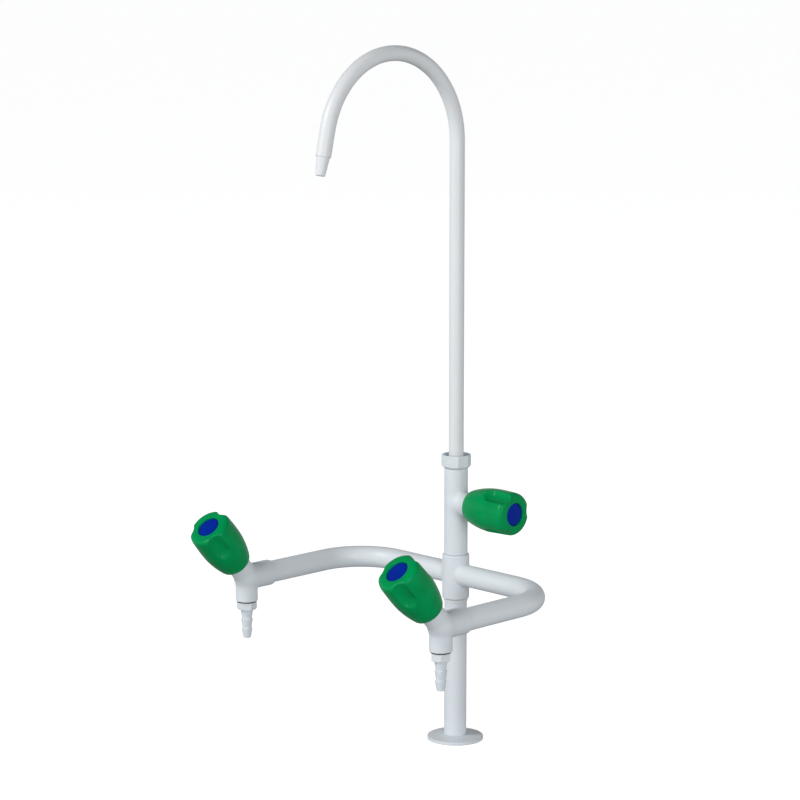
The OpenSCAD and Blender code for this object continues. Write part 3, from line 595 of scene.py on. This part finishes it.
def valveRule(s, x, y, z):
    along = x * s["neck x"] + y * s["neck y"] + z * s["neck z"]
    away = x * x + y * y + z * z
    leg = (length2(x, y) - s["leg radius"]).atLeast(outside(z, -s["leg drop"], 0.0), s["foot edge"])
    neckOut = (away - along * along).atLeast(0.0).root()
    back = y - s["neck lift"] * s["neck z"]
    up = z + s["neck lift"] * s["neck y"]
    lifted = x * x + back * back + up * up
    neckSkin = (lifted - along * along).atLeast(0.0).root() - s["neck radius"]
    neck = neckSkin.atLeast(outside(along, 0.0, s["neck reach"]), s["edge"])
    socketOut = length2(x, z)
    socket = (socketOut - s["socket radius"]).atLeast(outside(y, 0.0, s["socket reach"]), s["socket edge"])
    core = lifted.root() - s["core radius"]
    solid = leg.atMost(socket, s["socket blend"]).atMost(neck, s["neck blend"])
    solid = solid.atMost(core, s["socket blend"])
    armHole = (socketOut - s["arm radius"]).atLeast(s["socket reach"] - s["socket depth"] - y)
    nozzleHole = (length2(x, y) - s["nozzle radius"]).atLeast(z + s["leg drop"] - s["nozzle depth"])
    bonnetHole = (neckOut - s["bonnet radius"]).atLeast(s["bonnet level"] - along)
    fine = s["edge"] * s["hole edge share"]
    return solid.atLeast(-armHole, fine).atLeast(-nozzleHole, fine).atLeast(-bonnetHole, fine)


valveBlock = {
    "low": (-15 * mm, -25 * mm, -24.2 * mm),
    "high": (15 * mm, 33.2 * mm, 27 * mm),
    "step": 0.45 * mm,
}
for side, (across, forward) in sideValves.items():
    lean = Matrix.Rotation(valveToe[side], 3, "Z") @ Matrix.Rotation(valveTilt, 3, "X")
    neckLine = lean @ Vector((0, 0, 1))
    sizes = dict(valveShape, **{"neck x": neckLine.x, "neck y": neckLine.y, "neck z": neckLine.z})
    valveMesh = growSolid(side + "Valve", sizes, valveRule, valveBlock, finishes["white_coating"])
    placePiece(side + "ValveBody", valveMesh, Matrix.Translation((across, forward, armLevel)), "stand",
               "white_coating", side + "_valve_body")


# upper body: a turned post with a soft-rooted neck for the top valve
upperShape = {
    "body radius": 11.5 * mm,
    "body start": 186.5 * mm,
    "body end": 271.7 * mm,
    "spigot radius": 10 * mm,
    "spigot start": 176.6 * mm,
    "thread end": 276.6 * mm,
    "neck radius": 11.2 * mm,
    "neck reach": 20.6 * mm,
    "axis level": topValveLevel,
    "bonnet radius": 9.5 * mm,
    "bonnet level": 4 * mm,
    "bore radius": 8 * mm,
    "swivel radius": 9 * mm,
    "swivel level": 251.6 * mm,
    "inlet end share": 1.6,
    "blend": 5.5 * mm,
    "edge": 1.2 * mm,
    "hole edge share": 0.5,
}


def upperRule(s, x, y, z):
    out = length2(x, y)
    post = (out - s["body radius"]).atLeast(outside(z, s["body start"], s["body end"]), s["edge"])
    stem = (out - s["spigot radius"]).atLeast(outside(z, s["spigot start"], s["thread end"]), s["edge"])
    neckOut = length2(y, z - s["axis level"])
    neck = (neckOut - s["neck radius"]).atLeast(outside(x, 0.0, s["neck reach"]), s["edge"])
    solid = post.atMost(neck, s["blend"]).atMost(stem)
    bonnetHole = (neckOut - s["bonnet radius"]).atLeast(s["bonnet level"] - x)
    inletEnd = s["axis level"] - s["inlet end share"] * s["bore radius"]
    inlet = (out - s["bore radius"]).atLeast(z - inletEnd)
    outlet = (out - s["swivel radius"]).atLeast(s["swivel level"] - z)
    solid = solid.atLeast(-bonnetHole, s["edge"] * s["hole edge share"])
    return solid.atLeast(-inlet).atLeast(-outlet)


upperBlock = {
    "low": (-13 * mm, -13 * mm, 175.5 * mm),
    "high": (22 * mm, 13 * mm, 279 * mm),
    "step": 0.5 * mm,
}
upperMesh = growSolid("upperBody", upperShape, upperRule, upperBlock, finishes["white_coating"])
placePiece("upperBody", upperMesh, Matrix.Identity(4), "stand", "white_coating", "upper_body")


# hub: a thick collar with a small brazed fillet round the root of each arm
hubShape = {
    "radius": 13.25 * mm,
    "start": 142.5 * mm,
    "end": 186.5 * mm,
    "axis level": armLevel,
    "arm radius": 10.58 * mm,
    "arm reach": 20 * mm,
    "column radius": 11.05 * mm,
    "spigot radius": 10.05 * mm,
    "socket depth": 10 * mm,
    "bore radius": 7 * mm,
    "fillet": 3.2 * mm,
    "edge": 1.8 * mm,
}


def hubRule(s, x, y, z):
    out = length2(x, y)
    collar = (out - s["radius"]).atLeast(outside(z, s["start"], s["end"]), s["edge"])
    armOut = length2(y, z - s["axis level"])
    roots = (armOut - s["arm radius"]).atLeast(abs(x) - s["arm reach"])
    solid = collar.atMost(roots, s["fillet"])
    columnHole = (out - s["column radius"]).atLeast(z - s["start"] - s["socket depth"])
    spigotHole = (out - s["spigot radius"]).atLeast(s["end"] - s["socket depth"] - z)
    bore = out - s["bore radius"]
    return solid.atLeast(-columnHole).atLeast(-spigotHole).atLeast(-bore)


hubBlock = {
    "low": (-21 * mm, -15 * mm, 141.5 * mm),
    "high": (21 * mm, 15 * mm, 187.5 * mm),
    "step": 0.5 * mm,
}
hubMesh = growSolid("armHub", hubShape, hubRule, hubBlock, finishes["white_coating"])
placePiece("armHub", hubMesh, Matrix.Identity(4), "stand", "white_coating", "arm_hub")


# union nut: eight flats, a deep lower chamfer and a straight recess round the spout; turns of flat-sided
# pieces are given to a corner, and half a side more is the middle of a flat
nutSides = 8
nutTurn = 7.5
nutShape = {
    "across flats": 27 * mm,
    "sides": nutSides,
    "turn": math.radians(nutTurn + 180 / nutSides),
    "start": 272 * mm,
    "end": 285 * mm,
    "lower chamfer": 2.6 * mm,
    "upper chamfer": 0.6 * mm,
    "thread radius": 10.35 * mm,
    "lip level": 279.9 * mm,
    "lip height": 1.2 * mm,
    "lip radius": 8.4 * mm,
    "mouth radius": 12.3 * mm,
    "edge": 0.4 * mm,
}


def nutRule(s, x, y, z):
    out = length2(x, y)
    share = math.tau / s["sides"]
    half = s["across flats"] * 0.5
    flats = out * x.calc("COSINE", folded(x.calc("ARCTAN2", y, x) - s["turn"], share)) - half
    corner = half / x.calc("COSINE", share * 0.5)
    lower = (out - corner + s["lower chamfer"] - (z - s["start"])) * diagonal
    upper = (out - corner + s["upper chamfer"] - (s["end"] - z)) * diagonal
    solid = flats.atLeast(outside(z, s["start"], s["end"]), s["edge"])
    solid = solid.atLeast(lower, s["edge"]).atLeast(upper, s["edge"])
    thread = (out - s["thread radius"]).atLeast(z - s["lip level"])
    throat = out - s["lip radius"]
    mouth = (out - s["mouth radius"]).atLeast(s["lip level"] + s["lip height"] - z, s["edge"])
    return solid.atLeast(-thread).atLeast(-throat).atLeast(-mouth, s["edge"])


nutBlock = {
    "low": (-15.5 * mm, -15.5 * mm, 271.2 * mm),
    "high": (15.5 * mm, 15.5 * mm, 285.8 * mm),
    "step": 0.3 * mm,
}
nutMesh = growSolid("unionNut", nutShape, nutRule, nutBlock, finishes["white_coating"])
placePiece("unionNut", nutMesh, Matrix.Identity(4), "stand", "white_coating", "union_nut")


# hose nozzles: a six-sided collar and a row of barbs
nozzleShape = {
    "across flats": 17 * mm,
    "sides": 6,
    "spigot radius": 7.7 * mm,
    "spigot top": 7.4 * mm,
    "collar top": -1.2 * mm,
    "collar height": 7.6 * mm,
    "chamfer": 1.0 * mm,
    "barbs": 3,
    "barb length": 9.4 * mm,
    "first crest": 6.2 * mm,
    "crest step": 0.45 * mm,
    "barb drop": 1.5 * mm,
    "barb bite": 0.5 * mm,
    "barb blend": 0.3 * mm,
    "bore radius": 2.75 * mm,
    "edge": 0.7 * mm,
}
nozzleTurns = {"left": 45, "right": 15}


def nozzleRule(s, x, y, z):
    out = length2(x, y)
    share = math.tau / s["sides"]
    half = s["across flats"] * 0.5
    corner = half / x.calc("COSINE", share * 0.5)
    bottom = s["collar top"] - s["collar height"]
    flats = out * x.calc("COSINE", folded(x.calc("ARCTAN2", y, x), share)) - half
    skew = (out - corner + s["chamfer"] - (z - bottom)) * diagonal
    collar = flats.atLeast(outside(z, bottom, s["collar top"]), s["edge"]).atLeast(skew, s["edge"])
    spigot = (out - s["spigot radius"]).atLeast(outside(z, bottom, s["spigot top"]), s["edge"])
    down = (bottom - z) / s["barb length"]
    index = x.calc("FLOOR", down)
    crest = s["first crest"] - s["crest step"] * index - s["barb drop"] * (down - index)
    barbSpan = outside(z, bottom - s["barbs"] * s["barb length"], bottom + s["barb bite"])
    barbs = (out - crest).atLeast(barbSpan, s["edge"])
    solid = collar.atMost(spigot).atMost(barbs, s["barb blend"])
    return solid.atLeast(s["bore radius"] - out, s["edge"])


nozzleBlock = {
    "low": (-11 * mm, -11 * mm, -38 * mm),
    "high": (11 * mm, 11 * mm, 8.3 * mm),
    "step": 0.28 * mm,
}
nozzleMesh = growSolid("hoseNozzle", nozzleShape, nozzleRule, nozzleBlock, finishes["white_coating"])
for side, (across, forward) in sideValves.items():
    foot = Matrix.Translation((across, forward, armLevel - valveShape["leg drop"]))
    turn = math.radians(nozzleTurns[side] + 180 / nozzleShape["sides"])
    placePiece(side + "HoseNozzle", nozzleMesh, foot @ Matrix.Rotation(turn, 4, "Z"), "stand",
               "white_coating", side + "_hose_nozzle")


# tip of the spout: a smooth tapered nozzle pressed into the tube
tipShape = {
    "seat radius": 5.95 * mm,
    "seat depth": 9 * mm,
    "root radius": 6.2 * mm,
    "end radius": 4.5 * mm,
    "length": 17.5 * mm,
    "bore radius": 3.25 * mm,
    "seam": 0.05 * mm,
    "edge": 1.0 * mm,
    "seat edge share": 0.5,
    "mouth edge share": 0.6,
}
spoutRun = {
    "bend radius": 85.4 * mm,
    "bend level": 587.6 * mm,
    "bend angle": 167,
    "tail": 25 * mm,
}


def tipRule(s, x, y, z):
    out = length2(x, y)
    taper = s["root radius"] - (s["root radius"] - s["end radius"]) * (z / s["length"])
    shown = (out - taper).atLeast(outside(z, s["seam"], s["length"]), s["edge"])
    seatSpan = outside(z, -s["seat depth"], s["edge"])
    seat = (out - s["seat radius"]).atLeast(seatSpan, s["edge"] * s["seat edge share"])
    return shown.atMost(seat).atLeast(s["bore radius"] - out, s["edge"] * s["mouth edge share"])


tipBlock = {
    "low": (-7.2 * mm, -7.2 * mm, -10 * mm),
    "high": (7.2 * mm, 7.2 * mm, 18.5 * mm),
    "step": 0.25 * mm,
}
tipMesh = growSolid("spoutTip", tipShape, tipRule, tipBlock, spoutCoat)
bendTurn = Matrix.Rotation(math.radians(spoutRun["bend angle"]), 4, "X")
bendPlace = Matrix.Translation((0, -spoutRun["bend radius"], spoutRun["bend level"])) @ bendTurn
spoutEnd = bendPlace @ Matrix.Translation((0, spoutRun["bend radius"], spoutRun["tail"]))
placePiece("spoutTip", tipMesh, spoutEnd, "spout", "white_coating", "spout_nozzle")


# floor and light: a bright white floor, a soft key on the camera's left, a fill on its right and a dim top
stageLook = {
    "floorSize": 60.0,
    "floorColour": (0.62, 0.62, 0.625, 1),
    "floorRough": 0.85,
    "floorGlow": 0.86,
    "skyStops": [
        (0.0, (0.19, 0.20, 0.21)),
        (0.30, (0.48, 0.49, 0.50)),
        (0.46, (0.88, 0.89, 0.90)),
        (0.60, (0.92, 0.93, 0.94)),
        (0.75, (0.26, 0.27, 0.28)),
        (1.0, (0.03, 0.03, 0.04)),
    ],
    "skyLevel": 0.79,
    "skyLean": (-0.07, -0.20),
    "lights": [
        {"name": "key", "place": (-0.8, -2.1, 1.9), "size": 1.0, "power": 34.0},
        {"name": "fill", "place": (2.3, -1.1, 0.8), "size": 1.2, "power": 21.0},
        {"name": "glint", "place": (0.3, -2.3, 2.1), "size": 0.22, "power": 3.0},
    ],
    "target": (0.0, -0.05, 0.32),
}
half = stageLook["floorSize"] / 2
floorMesh = bpy.data.meshes.new("floor")
floorCorners = [(-half, -half, 0), (half, -half, 0), (half, half, 0), (-half, half, 0)]
floorMesh.from_pydata(floorCorners, [], [(0, 1, 2, 3)])
floor = bpy.data.objects.new("floor", floorMesh)
bpy.context.scene.collection.objects.link(floor)
floorMaterial = newMaterial("paleFloor", {
    "Base Color": stageLook["floorColour"], "Roughness": stageLook["floorRough"], "Specular IOR Level": 0.0,
    "Emission Color": (1, 1, 1, 1), "Emission Strength": stageLook["floorGlow"]})[0]
floorMesh.materials.append(floorMaterial)
floor.visible_diffuse = False
floor.visible_glossy = False

world = bpy.data.worlds.new("studio")
bpy.context.scene.world = world
world.use_nodes = True
sky = Wire(world.node_tree)
heading = sky.node("ShaderNodeTexCoord", output="Generated")
aside, ahead, height = [sky.node("ShaderNodeSeparateXYZ", {}, {0: heading}, axis) for axis in range(3)]
rise = height * 0.5 + 0.5
shade = sky.node("ShaderNodeValToRGB", {"stops": stageLook["skyStops"]}, {"Fac": rise}, "Color")
level = stageLook["skyLevel"] + stageLook["skyLean"][0] * aside + stageLook["skyLean"][1] * ahead
backdrop = world.node_tree.nodes["Background"]
world.node_tree.links.new(shade.socket, backdrop.inputs["Color"])
world.node_tree.links.new(level.socket, backdrop.inputs["Strength"])

for lamp in stageLook["lights"]:
    lightData = bpy.data.lights.new(lamp["name"], "AREA")
    lightData.shape = "DISK"
    lightData.size = lamp["size"]
    lightData.energy = lamp["power"]
    light = bpy.data.objects.new(lamp["name"], lightData)
    light.location = lamp["place"]
    aim = Vector(stageLook["target"]) - Vector(lamp["place"])
    light.rotation_mode = "QUATERNION"
    light.rotation_quaternion = aim.to_track_quat("-Z", "Y")
    bpy.context.scene.collection.objects.link(light)
bpy.context.scene.view_settings.view_transform = "Standard"
print("stage set")
